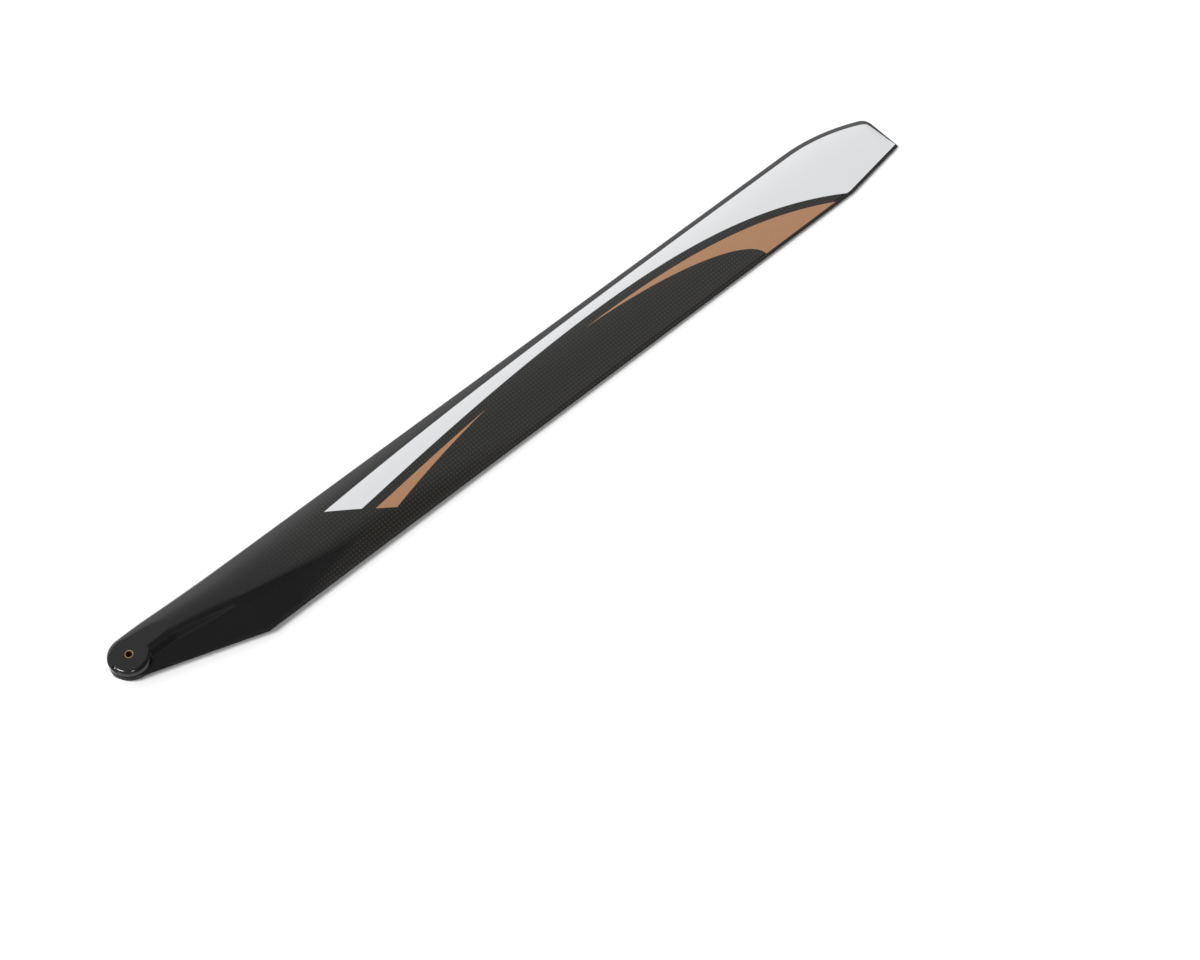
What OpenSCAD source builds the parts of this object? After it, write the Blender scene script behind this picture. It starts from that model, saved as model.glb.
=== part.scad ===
// Moulded carbon main rotor blade of a model helicopter, with a brass sleeve in the bolt hole of its root.
// Millimetres. The bolt hole stands on the origin, +X runs to the tip and +Y to the leading edge.

/* [Blade] */
// Bolt hole to tip
span = 600; // [450:5:720]
// Leading edge ahead of the bolt hole
lead = 13.6; // [12.5:0.1:18]
// Width of the blade
chord = 52.6; // [46:0.2:64]
// Thickness in percent of the chord
foil = 12; // [8:0.5:15]
// Thickness of the trailing edge and of the tip edge
trail_edge = 0.8; // [0.5:0.1:1.5]
// Height of the flat land that the mould leaves along the leading edge
nose_land = 0.3; // [0.2:0.1:0.6]

/* [Root] */
// Diameter of the round root end, at mid-height
boss_d = 26.4; // [22:0.2:27]
// Thickness of the root between its two flat faces
root_thick = 12; // [10:0.5:14]
// Width of the rounded side around both flat faces
rim = 2.9; // [1.5:0.1:4]
// Half height of the upright band around the round end
band = 1.6; // [0.8:0.1:2.5]
// Width of the hollow foot that runs out from that band onto the blade
foot = 4.5; // [2:0.5:8]
// Height of the ridge over the flat faces, which cut it off
ridge_over = 0.4; // [0.1:0.05:0.8]
// Bluntness of the section at the bolt hole, where 1 is the plain wing section
blunt = 0.4; // [0.3:0.05:1]
// Bolt hole to the shoulder behind the ridge
shoulder_y = 4.4; // [3:0.2:7]
// Slant of that shoulder away from the ridge, in degrees
shoulder_slant = 10; // [6:0.5:14]
// Width of the shoulder
shoulder_w = 6; // [4:0.5:10]
// Share of the height that the shoulder steps down at the root
shoulder_drop = 0.5; // [0:0.05:0.6]
// Bolt hole to the inner corner of the trailing edge
rake_in = 70; // [55:1:100]
// Bolt hole to where the ridge has thinned down to the blade
swell_end = 135; // [110:1:160]

/* [Tip] */
// Length over which the leading edge sweeps back
sweep = 63; // [40:1:90]
// Radius of that sweep
sweep_r = 141; // [120:1:260]
// Radius of the front corner of the tip
corner_r = 8; // [4:0.5:10]
// Tip to the outer corner of the trailing edge
rake_out = 50; // [30:1:80]
// Rise of the trailing edge over that length
rake_rise = 7.5; // [2:0.5:10]
// Length over which the blade thins down to the tip edge
tip_thin = 10; // [4:0.5:20]

/* [Bolt sleeve] */
// Bore for the blade bolt
bolt_d = 4; // [3:0.5:5]
// Wall of the sleeve
sleeve_wall = 0.5; // [0.4:0.1:0.8]
// Glue gap around the sleeve
glue = 0.02; // [0.01:0.01:0.05]
// Lead-in at both ends of the bore
lead_in = 0.15; // [0.1:0.05:0.25]

/* [Hidden] */
boss_r = boss_d / 2;
half_root = root_thick / 2;
trail = lead - chord;
sleeve_d = bolt_d + 2 * sleeve_wall;
// The slanted edge touches the round end here
touch_a = atan2(trail, rake_in) - acos(boss_r / norm([rake_in, trail]));
touch = boss_r * [cos(touch_a), sin(touch_a)];
rake_slope = (trail - touch[1]) / (rake_in - touch[0]);
// The leading edge leaves the round end over this length
neck = 1.4 * boss_r;
// The front corner of the tip is the circle that touches the swept edge and the tip edge
sweep_x = span - sweep;
corner_x = span - corner_r;
corner_y = lead - sweep_r + sqrt(pow(sweep_r - corner_r, 2) - pow(corner_x - sweep_x, 2));
corner_from = sweep_x + (corner_x - sweep_x) * sweep_r / (sweep_r - corner_r);
// Steps of the skin along and across the blade
round_steps = 18;
root_steps = 30;
swell_steps = 6;
body_steps = 4;
tip_steps = 22;
across = 36;

// Rises from 0 to 1 between a and b with level ends
function ease(a, b, x) =
    let (s = min(1, max(0, (x - a) / (b - a))))
    s * s * (3 - 2 * s);

// Leading edge at the station x
function lead_y(x) =
    x < 0 ? sqrt(boss_r * boss_r - x * x) :
    x < sweep_x ? boss_r + (lead - boss_r) * ease(0, neck, x) :
    x < corner_from ? lead - sweep_r + sqrt(sweep_r * sweep_r - pow(x - sweep_x, 2)) :
    corner_y + sqrt(max(0, corner_r * corner_r - pow(x - corner_x, 2)));

// Trailing edge at the station x
function trail_y(x) =
    x < touch[0] ? -sqrt(boss_r * boss_r - x * x) :
    x < rake_in ? touch[1] + rake_slope * (x - touch[0]) :
    x < span - rake_out ? trail :
    trail + rake_rise * (x - span + rake_out) / rake_out;

// Half thickness of a symmetric wing section, as a share of its largest half thickness
function wing(t) =
    2.969 * sqrt(t) - 1.26 * t - 3.516 * t * t + 2.843 * pow(t, 3) - 1.036 * pow(t, 4);

// Half thickness of the round end, p from the bolt hole: flat, then an elliptic side, then the hollow foot
function boss(p) =
    let (e = (p - boss_r + rim) / rim)
    e <= 0 ? half_root :
    e < 1 ? max(band, half_root * sqrt(1 - e * e)) :
    band * pow(max(0, 1 - (p - boss_r) / foot), 2);

// Height of the ridge of the blade at the station x
function ridge(x) =
    let (
        thin = (lead_y(max(x, neck)) - trail_y(max(x, rake_in))) * foil / 200,
        high = half_root + ridge_over
    )
    high + (thin - high) * ease(0, swell_end, x);

// Share of the height that is left behind the shoulder, which fades out along the blade
function behind(x, y) =
    let (line = -shoulder_y - tan(shoulder_slant) * max(0, x - boss_d))
    1 - shoulder_drop * (1 - ease(boss_d, swell_end, x)) * ease(0, shoulder_w, line - y);

// Half thickness of the blade over the point x, y, which lies at the share t of the way to the trailing edge
function half_z(x, y, t) =
    let (
        s = max(0, (x - span + tip_thin) / tip_thin),
        edge = nose_land + (trail_edge - nose_land) * max(ease(0.3, 1, t), s),
        form = pow(max(0, wing(t)), blunt + (1 - blunt) * ease(0, rake_in, x)) * behind(x, y)
    )
    max(boss(norm([x, y])), min(half_root, ridge(x) * form * sqrt(max(0, 1 - s * s))), edge / 2);

// Stations along the blade, close together at the round end, the root and the tip
runs = concat(
    [for (i = [0 : round_steps - 1]) -boss_r * cos((i + 0.5) * 90 / round_steps)],
    [for (i = [0 : root_steps - 1]) rake_in * pow(i / root_steps, 1.25)],
    [for (i = [0 : swell_steps - 1]) rake_in + (swell_end - rake_in) * i / swell_steps],
    [for (i = [0 : body_steps - 1]) swell_end + (sweep_x - swell_end) * i / body_steps],
    [for (i = [0 : tip_steps]) span - sweep * (1 - sin(90 * i / tip_steps))]
);
outer = span - rake_out;
stations = concat([for (x = runs) if (x < outer - 0.5) x], [outer], [for (x = runs) if (x > outer + 0.5) x]);

// Closed section at the station x: the upper face from front to back, then the lower face
function section(x) =
    let (
        a = lead_y(x),
        b = trail_y(x),
        face = [
            for (j = [0 : across])
                let (t = (1 - cos(180 * j / across)) / 2, y = a + (b - a) * t)
                [x, y, half_z(x, y, t)]
        ]
    )
    concat(face, [for (j = [across : -1 : 0]) [face[j][0], face[j][1], -face[j][2]]]);

module blade() {
    ring = 2 * (across + 1);
    rows = len(stations);
    points = [for (x = stations) each section(x)];
    skin = [
        for (i = [0 : rows - 2], j = [0 : ring - 1])
            let (a = i * ring + j, b = i * ring + (j + 1) % ring, upper = j <= across)
            each upper ?
                [[a, a + ring, b], [b, a + ring, b + ring]] :
                [[a, a + ring, b + ring], [a, b + ring, b]]
    ];
    caps = [
        for (j = [0 : across - 1])
            let (a = j, b = j + 1, c = ring - 2 - j, d = ring - 1 - j, far = (rows - 1) * ring)
            each [[a, b, c], [a, c, d], [far + a, far + c, far + b], [far + a, far + d, far + c]]
    ];
    color("#2b2b2d")
        difference() {
            polyhedron(points, concat(skin, caps), 2);
            cylinder(h = root_thick + 2, d = sleeve_d + 2 * glue, center = true, $fn = 48);
        }
}

// Brass sleeve, as long as the root is thick
module root_bush() {
    color("#b98f5a")
        rotate_extrude($fn = 48)
            polygon([
                [bolt_d / 2, -half_root + lead_in],
                [bolt_d / 2 + lead_in, -half_root],
                [sleeve_d / 2, -half_root],
                [sleeve_d / 2, half_root],
                [bolt_d / 2 + lead_in, half_root],
                [bolt_d / 2, half_root - lead_in]
            ]);
}

blade();
root_bush();
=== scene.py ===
# %% [markdown]
# # A moulded rotor blade, dressed for the camera
# The blade is one moulded piece of woven carbon with a thick round root, and a thin brass sleeve sits in
# its bolt hole. The frame gives both as solids. Here they get a finer skin, the cloth under its clear
# coat, the painted stripes, a pale floor and soft light.

# %% Load the frame
import math

import bpy
import numpy as np
from mathutils import Matrix


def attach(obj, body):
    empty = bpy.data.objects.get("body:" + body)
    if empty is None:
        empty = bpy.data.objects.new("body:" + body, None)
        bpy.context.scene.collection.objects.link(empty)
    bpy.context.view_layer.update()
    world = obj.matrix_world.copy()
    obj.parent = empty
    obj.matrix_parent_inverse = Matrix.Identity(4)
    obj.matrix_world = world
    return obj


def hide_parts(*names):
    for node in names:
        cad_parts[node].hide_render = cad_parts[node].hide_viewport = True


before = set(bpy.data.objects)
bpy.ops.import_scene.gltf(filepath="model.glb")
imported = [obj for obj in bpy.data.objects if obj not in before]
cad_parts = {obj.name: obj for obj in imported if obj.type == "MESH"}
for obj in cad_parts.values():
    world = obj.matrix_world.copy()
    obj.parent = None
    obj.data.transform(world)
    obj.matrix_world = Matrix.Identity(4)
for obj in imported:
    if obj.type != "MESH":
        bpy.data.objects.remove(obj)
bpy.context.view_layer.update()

# %% [markdown]
# ## The camera
# A straight edge in a picture tells a lot about the lens. The edges and corners of the blade give the
# height of the camera over the table, its distance and its focal length. The blade lies on the table on its
# root and its tip, so its own frame leans a little against the table. Camera and floor are therefore worked
# out on the table first and then turned into the blade's frame, where the part stays put.

# %% Place the camera
MM = 0.001
SPAN, ROOT_HALF, TIP_HALF, TIP_REST = 600.0, 6.0, 2.1, 588.0
SENSOR, PHOTO_WIDTH, FOCAL_PIXELS = 36.0, 1200.0, 2124.6
# Height angle and distance of the camera, place of the bolt hole, heading of the blade and its lean
lift = math.radians(59.87)
camera_far = 2.1441 * SPAN
hole_on_table = np.array([-0.44896 * SPAN, -0.20332 * SPAN, ROOT_HALF])
heading = 0.73188
lean = math.asin((ROOT_HALF - TIP_HALF) / TIP_REST)

along = np.array([math.cos(heading), math.sin(heading), 0.0])
ahead = np.array([-math.sin(heading), math.cos(heading), 0.0])
upright = np.array([0.0, 0.0, 1.0])
BLADE_AXES = np.array([
    along * math.cos(lean) - upright * math.sin(lean),
    ahead,
    along * math.sin(lean) + upright * math.cos(lean),
])


def from_table(points):
    """Points of the table, in mm, turned into the blade's own frame, in metres."""
    return (np.asarray(points, float) - hole_on_table) @ BLADE_AXES.T * MM


eye = np.array([0.0, -camera_far * math.cos(lift), camera_far * math.sin(lift)])
right = np.array([1.0, 0.0, 0.0])
forward = -eye / camera_far
over = np.cross(right, forward)
camera = bpy.data.objects.new("camera", bpy.data.cameras.new("camera"))
camera.data.sensor_width = SENSOR
camera.data.lens = SENSOR * FOCAL_PIXELS / PHOTO_WIDTH
camera.data.clip_start, camera.data.clip_end = 0.05, 40.0
pose = np.eye(4)
pose[:3, :3] = BLADE_AXES @ np.array([right, over, -forward]).T
pose[:3, 3] = from_table(eye)
camera.matrix_world = Matrix(pose.tolist())
bpy.context.scene.collection.objects.link(camera)
bpy.context.scene.camera = camera
print("camera at", np.round(pose[:3, 3], 3), "m, lens", round(camera.data.lens, 1), "mm")

# %% [markdown]
# ## The shape of the blade
# Seen from above, the blade is a circle round the bolt hole, a straight leading edge that sweeps back to the
# tip, and a trailing edge that slants away from the circle. Its thickness is a height over that outline: a
# wing section along the blade, a flat disc round the hole, and a ridge that joins the two. Upper and lower
# face are the same, so one height does for both. The formulas are those of the solid.

# %% Outline of the blade
LEAD, TRAIL = 13.6, -39.0
BOSS_R, RIM, BAND, FOOT = 13.2, 2.9, 1.6, 4.5
RAKE_IN, RAKE_OUT, RAKE_RISE = 70.0, 50.0, 7.5
SWEEP_X, SWEEP_R, CORNER_R = SPAN - 63.0, 141.0, 8.0
SWELL_END, RIDGE_OVER, BLUNT = 135.0, 0.4, 0.4
SHOULDER_Y, SHOULDER_SLANT, SHOULDER_W, SHOULDER_DROP = 4.4, math.radians(10), 6.0, 0.5
FOIL, TRAIL_EDGE, NOSE_LAND, TIP_THIN = 0.12, 0.8, 0.3, 10.0

touch_a = math.atan2(TRAIL, RAKE_IN) - math.acos(BOSS_R / math.hypot(RAKE_IN, TRAIL))
TOUCH_X, TOUCH_Y = BOSS_R * math.cos(touch_a), BOSS_R * math.sin(touch_a)
RAKE_SLOPE = (TRAIL - TOUCH_Y) / (RAKE_IN - TOUCH_X)
NECK = 1.4 * BOSS_R
CORNER_X = SPAN - CORNER_R
CORNER_Y = LEAD - SWEEP_R + math.sqrt((SWEEP_R - CORNER_R) ** 2 - (CORNER_X - SWEEP_X) ** 2)
CORNER_FROM = SWEEP_X + (CORNER_X - SWEEP_X) * SWEEP_R / (SWEEP_R - CORNER_R)


def ease(a, b, x):
    """Rises from 0 to 1 between a and b with level ends: 3s^2 - 2s^3."""
    s = np.clip((x - a) / (b - a), 0, 1)
    return s * s * (3 - 2 * s)


def root(v):
    """Square root that takes what lies below zero as zero."""
    return np.sqrt(np.maximum(v, 0))


def lead_y(x):
    """Leading edge: circle, straight line, arc of the sweep, then the small arc of the tip corner."""
    straight = BOSS_R + (LEAD - BOSS_R) * ease(0, NECK, x)
    swept = LEAD - SWEEP_R + root(SWEEP_R ** 2 - (x - SWEEP_X) ** 2)
    corner = CORNER_Y + root(CORNER_R ** 2 - (x - CORNER_X) ** 2)
    return np.select(
        [x < 0, x < SWEEP_X, x < CORNER_FROM],
        [root(BOSS_R ** 2 - x ** 2), straight, swept],
        corner,
    )


def trail_y(x):
    """Trailing edge: circle, its tangent to the inner corner, straight line, then the raked end."""
    slant = TOUCH_Y + RAKE_SLOPE * (x - TOUCH_X)
    raked = TRAIL + RAKE_RISE * (x - SPAN + RAKE_OUT) / RAKE_OUT
    return np.select(
        [x < TOUCH_X, x < RAKE_IN, x < SPAN - RAKE_OUT],
        [-root(BOSS_R ** 2 - x ** 2), slant, np.full_like(x, TRAIL)],
        raked,
    )


print("tip corner starts at x =", round(CORNER_FROM, 1), "mm")
print("slanted edge leaves the circle at x =", round(TOUCH_X, 1), "mm")

# %% [markdown]
# ## The thickness
# The real blade gets its thickness from a mould with two equal halves. Its root is a flat disc with a rounded
# rim. A ridge leaves the disc, and behind the ridge the face steps down over a slanting shoulder before it
# runs out to the trailing edge. Each of these is a short formula of the place. The larger of disc and ridge
# wins, and the flat faces cut the ridge off, as in a mould that was milled with several cutters.

# %% Thickness of the blade


def wing(t):
    """Symmetric wing section: a root and four powers of the way back from the nose, 1 at its thickest."""
    return 2.969 * np.sqrt(t) - 1.26 * t - 3.516 * t ** 2 + 2.843 * t ** 3 - 1.036 * t ** 4


def boss(p):
    """Round end, p from the hole: flat, then a quarter ellipse down to a band, then a hollow foot."""
    e = (p - BOSS_R + RIM) / RIM
    side = np.maximum(BAND, ROOT_HALF * root(1 - e * e))
    foot = BAND * np.clip(1 - (p - BOSS_R) / FOOT, 0, 1) ** 2
    return np.select([e <= 0, e < 1], [np.full_like(p, ROOT_HALF), side], foot)


def ridge(x):
    """Half thickness of the ridge: just over the flat disc at the root, then a share of the chord."""
    chord = lead_y(np.maximum(x, NECK)) - trail_y(np.maximum(x, RAKE_IN))
    high = ROOT_HALF + RIDGE_OVER
    return high + (chord * FOIL / 2 - high) * ease(0, SWELL_END, x)


def behind(x, y):
    """Share of the height left behind the shoulder of the root, which slants off and fades along the blade."""
    line = -SHOULDER_Y - math.tan(SHOULDER_SLANT) * np.maximum(0, x - 2 * BOSS_R)
    return 1 - SHOULDER_DROP * (1 - ease(2 * BOSS_R, SWELL_END, x)) * ease(0, SHOULDER_W, line - y)


def half_z(x, y, t):
    """Half thickness over x, y: the largest of the round end, the wing section and the edge's own land."""
    s = np.clip((x - SPAN + TIP_THIN) / TIP_THIN, 0, 1)
    edge = NOSE_LAND + (TRAIL_EDGE - NOSE_LAND) * np.maximum(ease(0.3, 1, t), s)
    form = np.maximum(0, wing(t)) ** (BLUNT + (1 - BLUNT) * ease(0, RAKE_IN, x)) * behind(x, y)
    section = np.minimum(ROOT_HALF, ridge(x) * form * root(1 - s * s))
    return np.maximum.reduce([boss(np.hypot(x, y)), section, edge / 2])


print("blade is", round(float(2 * ridge(np.array([300.0]))[0]), 2), "mm thick at mid-span")

# %% [markdown]
# ## The skin
# A skin like this could be carved from a block or lofted through ribs. Since its height is known at every
# point, it is simply laid out: a grid of stations along the blade and points across it, up one face and back
# on the other. The points crowd at the nose, the root and the tip, where the curves are tight.

# %% Grid of the skin
ACROSS = 88
stations = np.concatenate([
    -BOSS_R * np.cos(np.radians((np.arange(40) + 0.5) * 90 / 40)),
    RAKE_IN * (np.arange(110) / 110) ** 1.15,
    RAKE_IN + (SWELL_END - RAKE_IN) * np.arange(34) / 34,
    SWELL_END + (SWEEP_X - SWELL_END) * np.arange(60) / 60,
    SPAN - (SPAN - SWEEP_X) * (1 - np.sin(np.linspace(0, math.pi / 2, 64))),
])
outer = SPAN - RAKE_OUT
stations = np.sort(np.append(stations[np.abs(stations - outer) > 0.4], outer))
share = (1 - np.cos(np.linspace(0, math.pi, ACROSS + 1))) / 2

X, T = np.meshgrid(stations, share, indexing="ij")
front, back = lead_y(X), trail_y(X)
Y = front + (back - front) * T
Z = half_z(X, Y, T)
upper = np.stack([X, Y, Z], -1)
lower = np.stack([X, Y, -Z], -1)[:, ::-1]
ring = np.concatenate([upper, lower], 1)
rows, cols = ring.shape[:2]
print("skin grid", rows, "by", cols)

# %% [markdown]
# ## The bolt hole
# A hole is often cut with a Boolean modifier, which leaves ragged cells behind. Here the cells inside a small
# circle round the hole are left out instead. A ring of new cells closes the gap to the true circle on both
# faces, and a wall joins the two circles.

# %% Faces of the skin and its bolt hole
HOLE_R, CLEAR_R = 2.52, 6.25


def grid_faces(rows, cols):
    """Quads of a grid that is closed across: a point, the one on the next station, and their neighbours."""
    i, j = np.meshgrid(np.arange(rows - 1), np.arange(cols), indexing="ij")
    k = (j + 1) % cols
    return np.stack([i * cols + j, (i + 1) * cols + j, (i + 1) * cols + k, i * cols + k], -1).reshape(-1, 4)


points = ring.reshape(-1, 3)
quads = grid_faces(rows, cols)
near = np.hypot(points[:, 0], points[:, 1]) < CLEAR_R
inside = near[quads].all(1)
kept = quads[~inside]
half_cols = cols // 2
end_cells = np.arange(half_cols - 1)
caps = [
    first + np.stack([end_cells, end_cells + 1, cols - 2 - end_cells, cols - 1 - end_cells], -1)[:, ::step]
    for first, step in ((0, 1), ((rows - 1) * cols, -1))
]


def open_edges(faces):
    """Edges that only one of the faces uses, as pairs in that face's own direction."""
    pairs = np.stack([faces, np.roll(faces, -1, 1)], -1).reshape(-1, 2)
    order = np.sort(pairs, 1)
    code = order[:, 0].astype(np.int64) * (points.shape[0] + 1) + order[:, 1]
    _, first, count = np.unique(code, return_index=True, return_counts=True)
    return pairs[first[count == 1]]


def hole_side(face_sign):
    """Cells between the open edges of one face and the hole's circle, with the circle's new points.
    Each outer point gets one at its own angle, so every open edge makes one quad."""
    edges = open_edges(quads[inside & (points[quads[:, 0], 2] * face_sign > 0)])
    outer_ids = np.unique(edges)
    angle = np.arctan2(points[outer_ids, 1], points[outer_ids, 0])
    level = np.full_like(angle, ROOT_HALF * face_sign)
    circle = np.stack([HOLE_R * np.cos(angle), HOLE_R * np.sin(angle), level], -1)
    return edges, np.searchsorted(outer_ids, edges), circle, angle


def ring_cells(edges, inner, first):
    """Quads between open edges and a circle whose points are numbered from first."""
    return np.stack([edges[:, 0], edges[:, 1], first + inner[:, 1], first + inner[:, 0]], -1)


top_edges, top_inner, top_circle, top_angle = hole_side(1)
low_edges, low_inner, low_circle, low_angle = hole_side(-1)
base = len(points)
low_base = base + len(top_circle)
top_cells = ring_cells(top_edges, top_inner, base)
low_cells = ring_cells(low_edges, low_inner, low_base)
top_round = base + np.argsort(top_angle)
low_round = low_base + np.argsort(low_angle)
wall = np.stack([top_round, np.roll(top_round, -1), np.roll(low_round, -1), low_round], -1)
all_points = np.concatenate([points, top_circle, low_circle]) * MM
outward = np.concatenate([kept, *caps, top_cells, low_cells])[:, ::-1]
all_faces = np.concatenate([outward, wall])
print(len(all_faces), "cells,", len(top_round), "points round the hole")


def add_piece(name, points_m, faces, node, sharp=32):
    """Makes a smooth mesh of the points and faces, keeps its edges over the given angle sharp, and hands it
    to the frame in place of the solid."""
    mesh = bpy.data.meshes.new(name)
    mesh.from_pydata(points_m.tolist(), [], faces.tolist())
    mesh.validate()
    mesh.polygons.foreach_set("use_smooth", np.ones(len(mesh.polygons), bool))
    mesh.set_sharp_from_angle(angle=math.radians(sharp))
    piece = bpy.data.objects.new(name, mesh)
    bpy.context.scene.collection.objects.link(piece)
    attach(piece, "root")
    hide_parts(node)
    return piece


skin = add_piece("carbon_blade", all_points, all_faces, "blade")
print("skin has", len(skin.data.polygons), "faces")

# %% [markdown]
# ## The sleeve
# The bolt turns in a thin brass tube. A profile of wall, land and lead-in, carried once round the hole,
# gives it directly.

# %% Brass sleeve
BOLT_R, SLEEVE_R, LEAD_IN, SOFT = 2.0, 2.5, 0.15, 0.05
profile = np.array([
    [BOLT_R, -ROOT_HALF + LEAD_IN], [BOLT_R + LEAD_IN, -ROOT_HALF], [SLEEVE_R - SOFT, -ROOT_HALF],
    [SLEEVE_R, -ROOT_HALF + SOFT], [SLEEVE_R, ROOT_HALF - SOFT], [SLEEVE_R - SOFT, ROOT_HALF],
    [BOLT_R + LEAD_IN, ROOT_HALF], [BOLT_R, ROOT_HALF - LEAD_IN],
])
turn = np.linspace(0, 2 * math.pi, 96, endpoint=False)
sleeve_points = np.stack([
    profile[:, 0] * np.cos(turn)[:, None],
    profile[:, 0] * np.sin(turn)[:, None],
    profile[:, 1] + 0 * turn[:, None],
], -1)
steps, corners = sleeve_points.shape[:2]
i, j = np.meshgrid(np.arange(steps), np.arange(corners), indexing="ij")
n, k = (i + 1) % steps, (j + 1) % corners
sleeve_faces = np.stack([i * corners + j, n * corners + j, n * corners + k, i * corners + k], -1)
sleeve = add_piece(
    "brass_sleeve", sleeve_points.reshape(-1, 3) * MM, sleeve_faces.reshape(-1, 4), "root_bush", 25)
print("sleeve has", len(sleeve.data.polygons), "faces")

# %% [markdown]
# ## A small language for materials
# A material in Blender is a graph of nodes. Written out link by link it gets long and hard to read, so one
# small class wraps a socket: sums and products of values then add their own Math nodes, and any other node
# comes from one method.

# %% Sockets that can be added and multiplied


class Value:
    """A socket of a node tree that takes part in Python sums."""

    def __init__(self, tree, socket):
        self.tree, self.socket = tree, socket

    def node(self, kind, inputs=(), out=0, **settings):
        """Any node: its type, its settings, and the values or links of its sockets by name or number."""
        made = self.tree.nodes.new(kind)
        for key, value in settings.items():
            setattr(made, key, value)
        for key, value in dict(inputs).items():
            if isinstance(value, Value):
                self.tree.links.new(value.socket, made.inputs[key])
            else:
                made.inputs[key].default_value = value
        return Value(self.tree, made.outputs[out])

    def maths(self, operation, *others, clamp=False):
        """A Math node on this value and the others."""
        inputs = dict(enumerate((self, *others)))
        return self.node("ShaderNodeMath", inputs, operation=operation, use_clamp=clamp)

    def __add__(self, other): return self.maths("ADD", other)
    def __radd__(self, other): return self.maths("ADD", other)
    def __sub__(self, other): return self.maths("SUBTRACT", other)
    def __rsub__(self, other): return self.maths("SUBTRACT", other) * -1.0
    def __mul__(self, other): return self.maths("MULTIPLY", other)
    def __rmul__(self, other): return self.maths("MULTIPLY", other)
    def __truediv__(self, other): return self.maths("DIVIDE", other)
    def __pow__(self, other): return self.maths("POWER", other)
    def low(self, other): return self.maths("MINIMUM", other)
    def high(self, other): return self.maths("MAXIMUM", other)

    def blend(self, a, b):
        """Colour a where this value is 0 and colour b where it is 1."""
        return self.node(
            "ShaderNodeMix", {0: self, 6: a, 7: b}, out=2, data_type="RGBA", clamp_factor=True)


def new_material(name):
    """An empty material: its tree, its principled shader and its own millimetres x, y, z."""
    material = bpy.data.materials.new(name)
    material.use_nodes = True
    tree = material.node_tree
    shader = tree.nodes["Principled BSDF"]
    start = Value(tree, None)
    place = start.node("ShaderNodeTexCoord", out="Object")
    split = start.node("ShaderNodeSeparateXYZ", {0: place})
    x, y, z = (Value(tree, split.socket.node.outputs[n]) * (1 / MM) for n in range(3))
    return material, tree, shader, place, x, y, z


def horner(s, terms):
    """A polynomial of s, its highest power first."""
    total = s * terms[0] + terms[1]
    for term in terms[2:]:
        total = total * s + term
    return total


print("materials are built from sums of sockets")

# %% [markdown]
# ## Painted stripes
# Stripes like these are often sprayed into the mould through masks, so that they lie flush under the clear
# coat. They could be a picture laid over the blade, but a picture frays when the camera comes close. Each
# stripe is a field between a few curves instead: a coordinate minus a curve is positive on one side, and the
# smallest of such differences is positive only inside. Dividing it by a small width gives a crisp edge.

# %% Paint fields
carbon, tree, shader, place, x, y, z = new_material("carbon")
s = (x - 150.0) / 400.0
white_top = horner(s.low(0.85), (13.728, -32.63, 27.253, 1.362))
white_low = horner(s, (-114.488, 165.127, -135.843, 16.539, 43.239, -13.468))


def clamped(value):
    """The value, kept between 0 and 1."""
    return value.maths("MULTIPLY", 1.0, clamp=True)


def crisp(field, width=0.16):
    """1 where the field, in mm, is over zero and 0 where it is under, with a soft edge of the given width."""
    return clamped(field / width + 0.5)


def arc_y(x, centre_x, radius, top):
    """Height of a circle's upper side over x, for the swept part of the leading edge."""
    d = (x - centre_x).high(0.0)
    return top - radius + (radius ** 2 - d * d).high(0.0) ** 0.5


print("stripe curves:", len(tree.nodes), "nodes")

# %% [markdown]
# The white stripe starts with a slanted cut, follows the leading edge at an even margin and fills the tip. Two
# bronze stripes lie behind it, with an even gap of bare carbon between. The outer one is cut from below by a
# quarter of an ellipse.

# %% White and bronze fields
LEAD_MARGIN, RAKE_MARGIN, TRAIL_MARGIN, STRIPE_GAP = 4.4, 2.1, 1.5, 5.9
TIP_LINE, TIP_SLANT = 597.4, 2.5 / 25.4
SWOOSH_FROM, SWOOSH_RUN, SWOOSH_DROP = 347.0, 126.0, 29.5


def beyond(at_x, at_y, slope):
    """Distance past a slanted line through a point, in mm, positive on the tip's side."""
    return (y - at_y + (x - at_x) * slope) / math.hypot(1, slope)


swept_edge = arc_y(x, SWEEP_X, SWEEP_R - LEAD_MARGIN, LEAD - LEAD_MARGIN)
tip_line = TIP_LINE - (y + 6.0) * TIP_SLANT
raked_line = (x - (SPAN - RAKE_OUT)).high(0.0) * (RAKE_RISE / RAKE_OUT) + (TRAIL + RAKE_MARGIN)
white_outside = (swept_edge - y).maths("SMOOTH_MIN", tip_line - x, 4.0)
white_ends = beyond(142.0, 0.6, 0.722).low(y - raked_line)
white_field = (white_top - y).low(white_outside).low(y - white_low).low(white_ends)

bronze_top = white_low - STRIPE_GAP - y
wedge_low = horner(s, (-111.607, 118.445, -32.445))
wedge_field = bronze_top.low(y - wedge_low).low(beyond(167.1, -18.0, 0.727))
run = ((x - SWOOSH_FROM) / SWOOSH_RUN).high(0.0).low(1.0)
swoosh_low = -3.9 - run * 3.5 - (1.0 - (1.0 - run * run) ** 0.5) * SWOOSH_DROP
swoosh_field = bronze_top.low(y - swoosh_low).low(y - (TRAIL + TRAIL_MARGIN)).low(x - SWOOSH_FROM)

white = crisp(white_field)
bronze = crisp(wedge_field.high(swoosh_field))
paint = white.high(bronze)
print("paint fields:", len(tree.nodes), "nodes")

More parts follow.
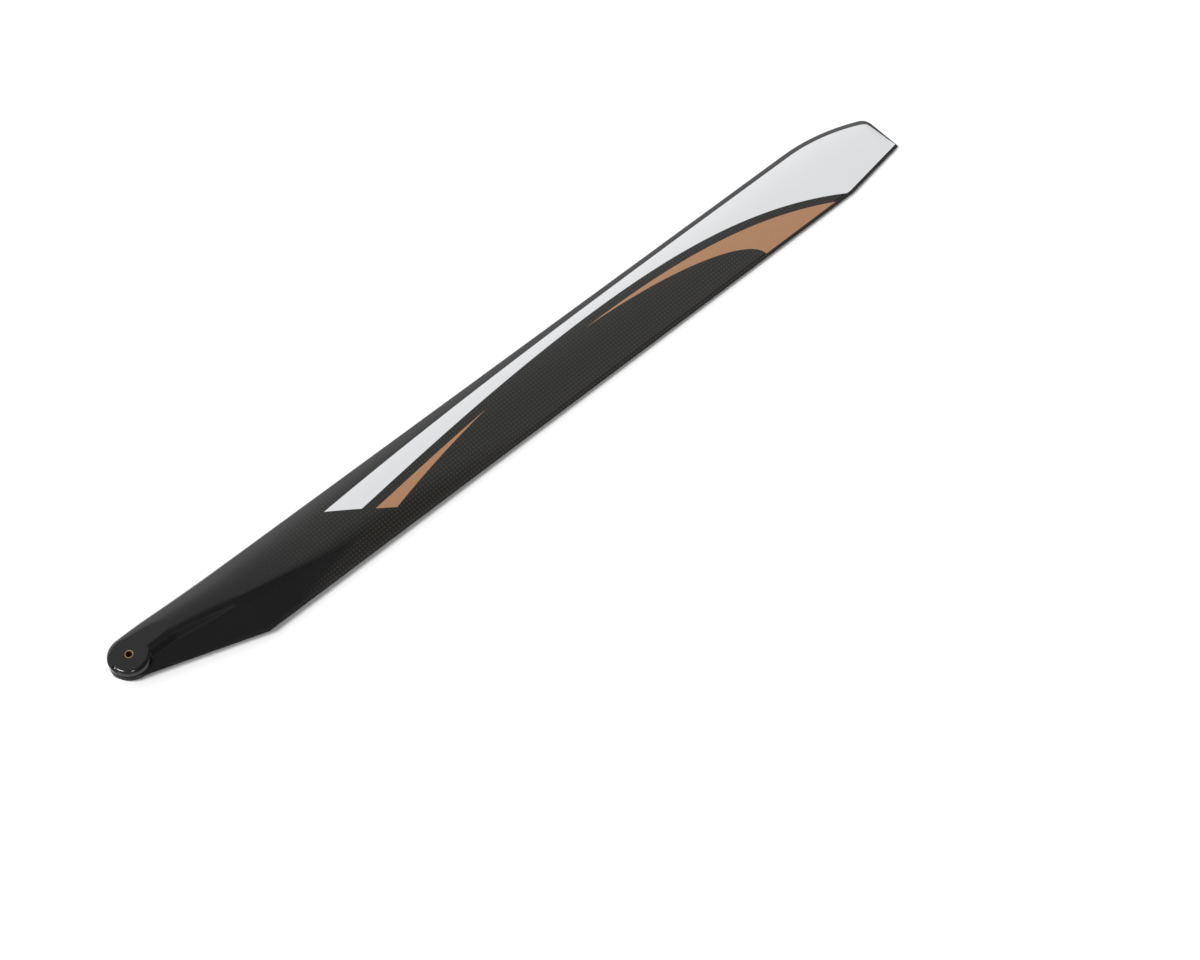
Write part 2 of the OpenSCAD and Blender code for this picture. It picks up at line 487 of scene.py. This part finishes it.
# %% [markdown]
# ## The woven carbon and its painted glint
# The carbon is a plain weave laid on the bias, so its tows cross the blade at 45 degrees and their crossings
# line up in rows along it. A tow shines where it comes over the other one, and this shine is a painted
# highlight:
# the colour is lighter on the crest of each slanted tow, and a quarter as much on the crossing ones. Two turned
# coordinates count the tows, their whole parts tell which tow is on top, and a sine arch rounds each crossing.
# The weave can't be seen at the root, as if resin had flowed over it, so the weave and its painted glint fade
# there and come back along the trailing edge first.

# %% Woven cloth
TOW = 1.655
p = (x + y) / (math.sqrt(2) * TOW)
q = (x - y) / (math.sqrt(2) * TOW)
fp, fq = p.maths("FRACT"), q.maths("FRACT")
odd = ((p.maths("FLOOR") + q.maths("FLOOR")) * 0.5).maths("FRACT") * 2.0
arch_p = (fp * math.pi).maths("SINE")
arch_q = (fq * math.pi).maths("SINE")
# The slanted tows carry the painted glint, the crossing ones a quarter of it, and both shape the bump
slant_tow = (1.0 - odd) * (arch_q ** 0.6) * (arch_p ** 0.5)
cross_tow = odd * (arch_p ** 0.6) * (arch_q ** 0.5)
fibres = place.node(
    "ShaderNodeTexNoise", {"Vector": place, "Scale": 900.0, "Detail": 2.0}, noise_dimensions="3D")
# The smooth field behind the shoulder, between two slanted lines
resin_top = -4.4 - (x - 24.0) * 0.178
resin_low = (x - 75.0) * 0.212 - 39.0
outside_resin = clamped((y - resin_top).high(resin_low - y) / 4.0 + 0.1)
back_strip = clamped((-22.0 - y) / 12.0) * clamped((x - 95.0) / 25.0) * 0.5
shown = clamped((x - 75.0) / 60.0) * outside_resin * (1.0 - clamped((y - 3.0) / 9.0) * 0.75) + back_strip
weave_with_painted_glint = (slant_tow + cross_tow * 0.25) * (0.75 + fibres * 0.5) * shown
print("cloth repeats every", round(TOW * math.sqrt(2), 2), "mm along the blade")

# %% [markdown]
# ## Clear coat
# Carbon is nearly black, so most of what is seen of it is the mirror of the clear coat over it. The coat is
# mostly gone along the trimmed edges and round the band of the root, where two mould halves would meet and be
# sanded. The bronze carries fine metal flakes. A little bump lets the tows catch the light.

# %% Blade finish
CLOTH_DARK, PAINTED_TOW_GLINT = (0.0056, 0.0055, 0.0056, 1), (0.0270, 0.0255, 0.0215, 1)
SEAM_GREY, WHITE_PAINT = (0.025, 0.025, 0.026, 1), (0.598, 0.605, 0.617, 1)
BRONZE_DEEP, BRONZE_LIGHT = (0.30, 0.150, 0.076, 1), (0.44, 0.230, 0.124, 1)
off_middle = z.maths("ABSOLUTE")
seam = crisp(0.14 - off_middle, 0.08) * (1.0 - paint)
trimmed = crisp(0.45 + clamped((16.0 - x) / 8.0) * 2.4 - off_middle, 0.12)
flakes = place.node(
    "ShaderNodeTexNoise", {"Vector": place, "Scale": 2600.0, "Detail": 1.0}, noise_dimensions="3D")
# Bare carbon is painted lighter where the weave's painted glint lies
bare = (seam * 0.5).blend(weave_with_painted_glint.blend(CLOTH_DARK, PAINTED_TOW_GLINT), SEAM_GREY)
bronze_paint = flakes.blend(BRONZE_DEEP, BRONZE_LIGHT)
colour = bronze.blend(white.blend(bare, WHITE_PAINT), bronze_paint)
rough = 0.42 - weave_with_painted_glint * 0.08 * (1.0 - paint) + flakes * 0.06 + trimmed * 0.2
weave_bump = place.node(
    "ShaderNodeBump", {"Strength": 0.25, "Distance": 0.00006, "Height": weave_with_painted_glint * (1.0 - paint)})
tree.links.new(colour.socket, shader.inputs["Base Color"])
tree.links.new(rough.socket, shader.inputs["Roughness"])
tree.links.new((bronze * 0.15).socket, shader.inputs["Metallic"])
tree.links.new(weave_bump.socket, shader.inputs["Normal"])
shader.inputs["Specular IOR Level"].default_value = 0.10
tree.links.new((1.0 - trimmed * 0.9).socket, shader.inputs["Coat Weight"])
shader.inputs["Coat Roughness"].default_value = 0.04
shader.inputs["Coat IOR"].default_value = 1.5
skin.data.materials.append(carbon)
print("blade finish:", len(tree.nodes), "nodes")

# %% [markdown]
# ## Brass
# The sleeve was cut from drawn tube and faced off, so its ends carry fine rings. In the bore the metal is
# painted darker and made a little rougher: painted shade, deep in the narrow hole.

# %% Brass finish
BRASS_LIGHT, BRASS_DULL, BRASS_BORE_SHADE = (0.86, 0.60, 0.33, 1), (0.68, 0.43, 0.22, 1), (0.33, 0.17, 0.075, 1)
brass, tree_b, shader_b, place_b, xb, yb, _ = new_material("brass")
radius = (xb * xb + yb * yb) ** 0.5
rings = (radius * 38.0).maths("SINE") * 0.5 + 0.5
blotches = place_b.node("ShaderNodeTexNoise", {"Vector": place_b, "Scale": 700.0, "Detail": 3.0})
# Painted shade: the bore is coloured darker, as the narrow hole lies in shade
in_bore = crisp(2.03 - radius, 0.05)
metal = (blotches * 0.8).blend(BRASS_LIGHT, BRASS_DULL)
brass_with_bore_shade = in_bore.blend(metal, BRASS_BORE_SHADE)
tree_b.links.new(brass_with_bore_shade.socket, shader_b.inputs["Base Color"])
tree_b.links.new((0.24 + rings * 0.10 + in_bore * 0.2).socket, shader_b.inputs["Roughness"])
shader_b.inputs["Metallic"].default_value = 1.0
sleeve.data.materials.append(brass)
print("brass finish:", len(tree_b.nodes), "nodes")

# %% [markdown]
# ## The floor
# The blade lies on a plain white table. One flat face is enough, as long as it is so wide that no edge of it
# shows from a low side.

# %% Pale floor
side = 30000.0
corners_on_table = [[-side, -side, 0], [side, -side, 0], [side, side, 0], [-side, side, 0]]
floor_mesh = bpy.data.meshes.new("floor")
floor_mesh.from_pydata(from_table(corners_on_table).tolist(), [], [[0, 1, 2, 3]])
floor = bpy.data.objects.new("floor", floor_mesh)
bpy.context.scene.collection.objects.link(floor)
table_white = bpy.data.materials.new("table_white")
table_white.use_nodes = True
matt = table_white.node_tree.nodes["Principled BSDF"]
matt.inputs["Base Color"].default_value = (0.93, 0.93, 0.93, 1)
matt.inputs["Roughness"].default_value = 0.7
floor.data.materials.append(table_white)
print("floor under the blade at", round(float(from_table([0, 0, 0])[2]) * 1000, 1), "mm")

# %% [markdown]
# ## The sky in the coat
# The light in the coat looks like that of a soft tent: bright at the far left, dark straight above, dark on the
# right and dull on the camera's side. A few large lamps could stand in for the tent, but the sky is painted
# directly, because its brightness then depends only on where a direction points. The dark patch overhead is
# what makes the flat field behind the shoulder almost black.

# %% Soft sky
world = bpy.data.worlds.new("tent")
bpy.context.scene.world = world
world.use_nodes = True
sky = Value(world.node_tree, None)
direction = sky.node("ShaderNodeTexCoord", out="Generated")


def towards(axis):
    """How much a direction of the sky points along an axis of the table: 1 along it, -1 away from it."""
    turned = BLADE_AXES @ np.asarray(axis, float)
    return sky.node(
        "ShaderNodeVectorMath", {0: direction, 1: turned.tolist()}, out="Value", operation="DOT_PRODUCT")


height = towards((0, 0, 1))


def fall(value, start, end, left):
    """Brightness that falls from 1 to the part that is left, while the value goes from start to end."""
    limits = {"Value": value, "From Min": start, "From Max": end, "To Min": 1.0, "To Max": left}
    return sky.node("ShaderNodeMapRange", limits, interpolation_type="SMOOTHSTEP")


overhead = fall(height, 0.60, 0.935, 0.36) * fall(height, 0.918, 0.942, 0.12)
horizon = fall(height, 0.45, 0.18, 0.68)
right_side = fall(towards((1, 0, 0)), 0.28, 0.50, 0.12)
near_side = fall(towards((0, -1, 0)), 0.05, 0.45, 0.28)
SKY_POWER = 1.22
brightness = SKY_POWER * overhead * horizon * right_side * near_side
backdrop = world.node_tree.nodes["Background"]
backdrop.inputs["Color"].default_value = (0.985, 0.995, 1.0, 1)
world.node_tree.links.new(brightness.socket, backdrop.inputs["Strength"])
bpy.context.scene.view_settings.view_transform = "Standard"
print("sky made")

# %% [markdown]
# ## Two lamps
# Two soft lamps stand beside the camera. They light the table and leave two glints on the rim of the root.
# Their places follow from the glints, since a mirror tells where its light comes from.

# %% Two lamps


def lamp(name, seen, wide, power):
    """A soft lamp far off, so that root and tip get the same light. It lies where seen points from the table
    and is as wide as the given angle, in degrees."""
    light = bpy.data.lights.new(name, "SUN")
    light.angle, light.energy = math.radians(wide), power
    made = bpy.data.objects.new(name, light)
    back = BLADE_AXES @ (np.asarray(seen, float) / np.linalg.norm(seen))
    sideways = np.cross([0.0, 0.0, 1.0], back)
    sideways /= np.linalg.norm(sideways)
    stand = np.eye(4)
    stand[:3, :3] = np.array([sideways, np.cross(back, sideways), back]).T
    stand[:3, 3] = back * 2.0
    made.matrix_world = Matrix(stand.tolist())
    bpy.context.scene.collection.objects.link(made)


lamp("wide_lamp", (-0.50, -0.33, 0.80), 22, 2.6)
lamp("small_lamp", (0.10, -0.57, 0.82), 9, 0.7)
print("lamps set")
